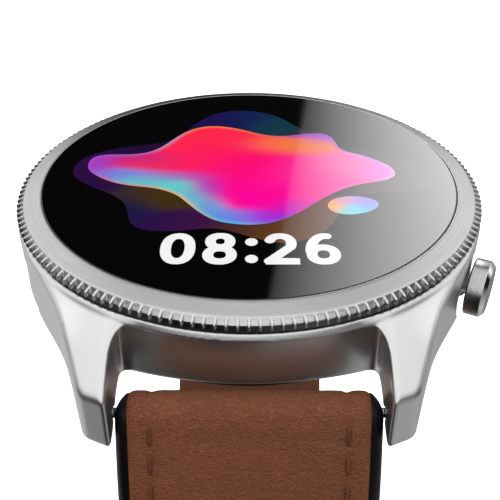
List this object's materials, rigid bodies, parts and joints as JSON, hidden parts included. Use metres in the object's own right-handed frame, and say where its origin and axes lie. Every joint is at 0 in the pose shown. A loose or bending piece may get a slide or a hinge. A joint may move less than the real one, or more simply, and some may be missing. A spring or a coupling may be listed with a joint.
{
  "type": "smartwatch",
  "caption": "Round smartwatch with a coin-edge turning bezel, push-and-turn crown, drilled lugs and a quick-release leather strap with a pin buckle.",
  "frame": {"origin": "centre of the flat sensor window on the back, the face that rests on the wrist", "axes": "+Z out through the display, +Y towards 12 o'clock, +X towards 3 o'clock, the crown side"},
  "size_m": [0.0466, 0.0603, 0.1124],
  "materials": {
    "case_steel": "fine bead blasted",
    "bezel_steel": "circular brushed",
    "polished_steel": "polished",
    "display_glass": "polished glass over a lit panel",
    "black_plastic": "fine texture",
    "sensor_glass": "polished",
    "seal_rubber": "matt",
    "leather_brown": "fine grain",
    "leather_lining": "smooth",
    "strap_edge": "satin edge finish",
    "board_green": "solder mask",
    "chip_black": "moulded",
    "battery_wrap": "film",
    "flex_amber": "film",
    "contact_gold": "plated",
    "led_lens": "clear"
  },
  "bodies": {
    "case": {"case_middle": "case_steel", "bezel_click_ring": "polished_steel", "cover_glass": "display_glass", "glass_seal": "seal_rubber", "display_panel": "black_plastic", "display_frame": "black_plastic", "display_flex": "flex_amber", "inner_frame": "black_plastic", "main_board": "board_green", "processor_shield": "polished_steel", "radio_shield": "polished_steel", "memory_chip": "chip_black", "motion_sensor": "chip_black", "microphone": "polished_steel", "speaker": "chip_black", "haptic_motor": "polished_steel", "battery": "battery_wrap", "sensor_board": "board_green", "sensor_led_green": "led_lens", "sensor_led_infrared": "led_lens", "sensor_photodiode": "chip_black", "back_cover": "black_plastic", "sensor_window": "sensor_glass", "back_gasket": "seal_rubber", "charging_pin_1": "contact_gold", "charging_pin_2": "contact_gold", "crown_tube": "polished_steel", "crown_seal": "seal_rubber", "crown_sensor": "chip_black", "crown_switch": "polished_steel", "back_screw_1": "polished_steel", "back_screw_2": "polished_steel", "back_screw_3": "polished_steel", "back_screw_4": "polished_steel"},
    "bezel": {"rotating_bezel": "bezel_steel"},
    "crown_slide": {"crown_clip": "polished_steel"},
    "crown": {"crown_cap": "bezel_steel", "crown_stem": "polished_steel", "crown_encoder_wheel": "chip_black"},
    "strap_6": {"strap_6_core": "strap_edge", "strap_6_leather": "leather_brown", "strap_6_lining": "leather_lining", "spring_bar_6": "polished_steel"},
    "lever_6": {"release_lever_6": "polished_steel"},
    "strap_12": {"strap_12_core": "strap_edge", "strap_12_leather": "leather_brown", "strap_12_lining": "leather_lining", "spring_bar_12": "polished_steel", "fixed_keeper": "leather_brown", "buckle_bar": "polished_steel"},
    "lever_12": {"release_lever_12": "polished_steel"},
    "keeper": {"free_keeper": "leather_brown"},
    "buckle": {"buckle_frame": "polished_steel"},
    "tongue": {"buckle_tongue": "polished_steel"}
  },
  "joints": [
    {"name": "bezel_turn", "type": "hinge", "parent": "case", "child": "bezel", "pos_m": [0, 0, 0.0105], "axis": [0, 0, 1], "continuous": true},
    {"name": "crown_push", "type": "slide", "parent": "case", "child": "crown_slide", "axis": [-0.8973, 0.4415, 0], "range_m": [0, 0.0006], "stiffness_N_per_m": 600},
    {"name": "crown_turn", "type": "hinge", "parent": "crown_slide", "child": "crown", "pos_m": [0, 0, 0.0052], "axis": [0.8973, -0.4415, 0], "continuous": true},
    {"name": "strap_6_swing", "type": "hinge", "parent": "case", "child": "strap_6", "pos_m": [0, -0.0235, 0.0018], "axis": [-1, 0, 0], "range_deg": [-3, 60]},
    {"name": "strap_12_swing", "type": "hinge", "parent": "case", "child": "strap_12", "pos_m": [0, 0.0235, 0.0018], "axis": [1, 0, 0], "range_deg": [-3, 60]},
    {"name": "lever_6_slide", "type": "slide", "parent": "strap_6", "child": "lever_6", "axis": [-1, 0, 0], "range_m": [0, 0.0012], "stiffness_N_per_m": 150},
    {"name": "lever_12_slide", "type": "slide", "parent": "strap_12", "child": "lever_12", "axis": [-1, 0, 0], "range_m": [0, 0.0012], "stiffness_N_per_m": 150},
    {"name": "keeper_slide", "type": "hinge", "parent": "strap_12", "child": "keeper", "pos_m": [0, -0.0131, -0.00031], "axis": [-1, 0, 0], "range_deg": [-11, 7.5]},
    {"name": "buckle_swing", "type": "hinge", "parent": "strap_12", "child": "buckle", "pos_m": [0, -0.01309, -0.04547], "axis": [1, 0, 0], "range_deg": [-30, 30]},
    {"name": "tongue_swing", "type": "hinge", "parent": "buckle", "child": "tongue", "pos_m": [0, -0.01309, -0.04547], "axis": [1, 0, 0], "range_deg": [0, 90]}
  ]
}
